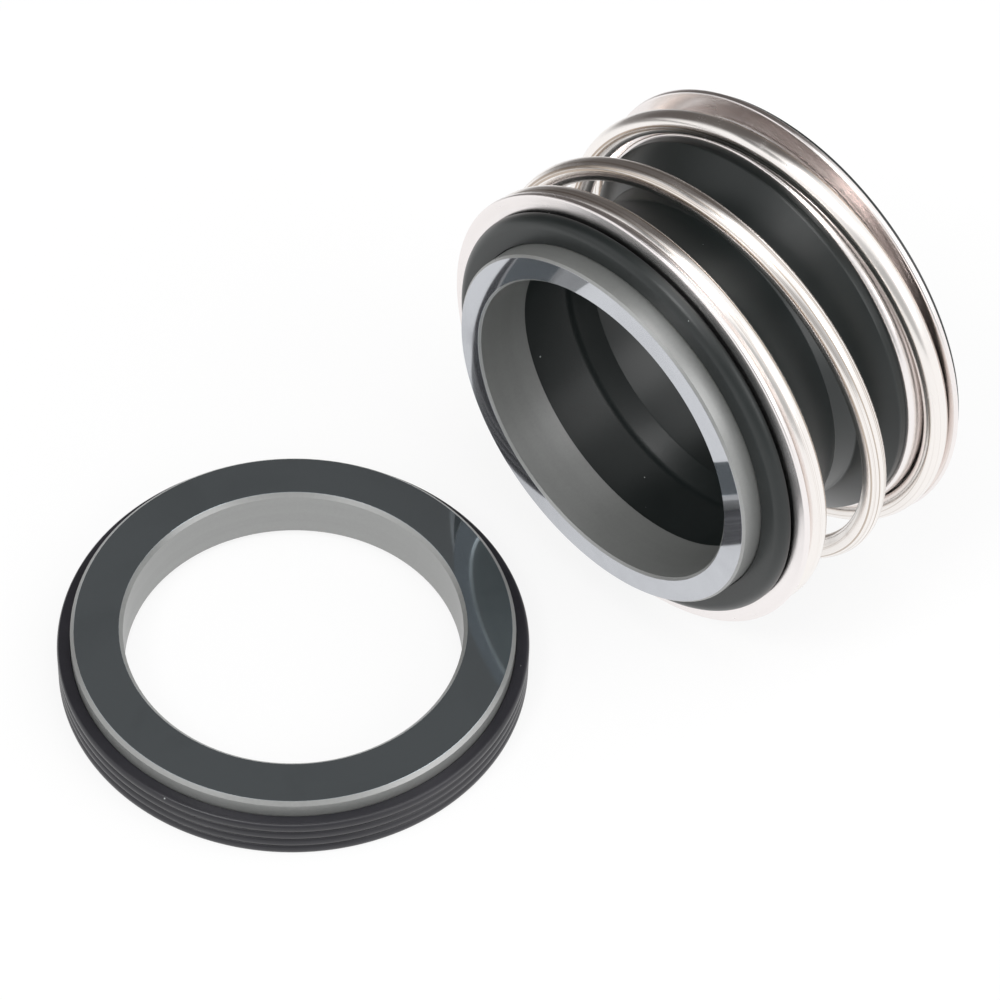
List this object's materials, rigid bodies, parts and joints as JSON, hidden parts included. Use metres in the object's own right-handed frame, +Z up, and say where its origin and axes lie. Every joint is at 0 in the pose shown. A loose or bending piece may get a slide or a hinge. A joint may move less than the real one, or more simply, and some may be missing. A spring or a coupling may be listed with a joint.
{
  "type": "component mechanical seal",
  "caption": "Rubber-bellows component mechanical seal: a spring-loaded rotating head with a ceramic face ring, and its ceramic seat in a ribbed rubber cup.",
  "frame": {"origin": "on the shaft axis, in the plane of the bellows' rear foot", "axes": "+X along the shaft from the running face to the foot, +Z up from the surface that head and seat lie on"},
  "size_m": [0.0963, 0.0751, 0.06],
  "materials": {
    "silicon_carbide": "satin",
    "polished_stainless": "polished",
    "spring_wire": "polished",
    "black_rubber": "matte"
  },
  "bodies": {
    "tail_and_seat": {"rear_spring_collar": "polished_stainless", "compression_spring": "spring_wire", "rubber_bellows": "black_rubber", "seat_ring": "silicon_carbide", "seat_cup": "black_rubber"},
    "face_unit": {"seal_face_ring": "silicon_carbide", "front_spring_collar": "polished_stainless"}
  },
  "joints": [
    {"name": "face_travel", "type": "slide", "parent": "tail_and_seat", "child": "face_unit", "axis": [1, 0, 0], "range_m": [0, 0.004], "stiffness_N_per_m": 3000, "deforming": ["compression_spring", "rubber_bellows"]}
  ]
}
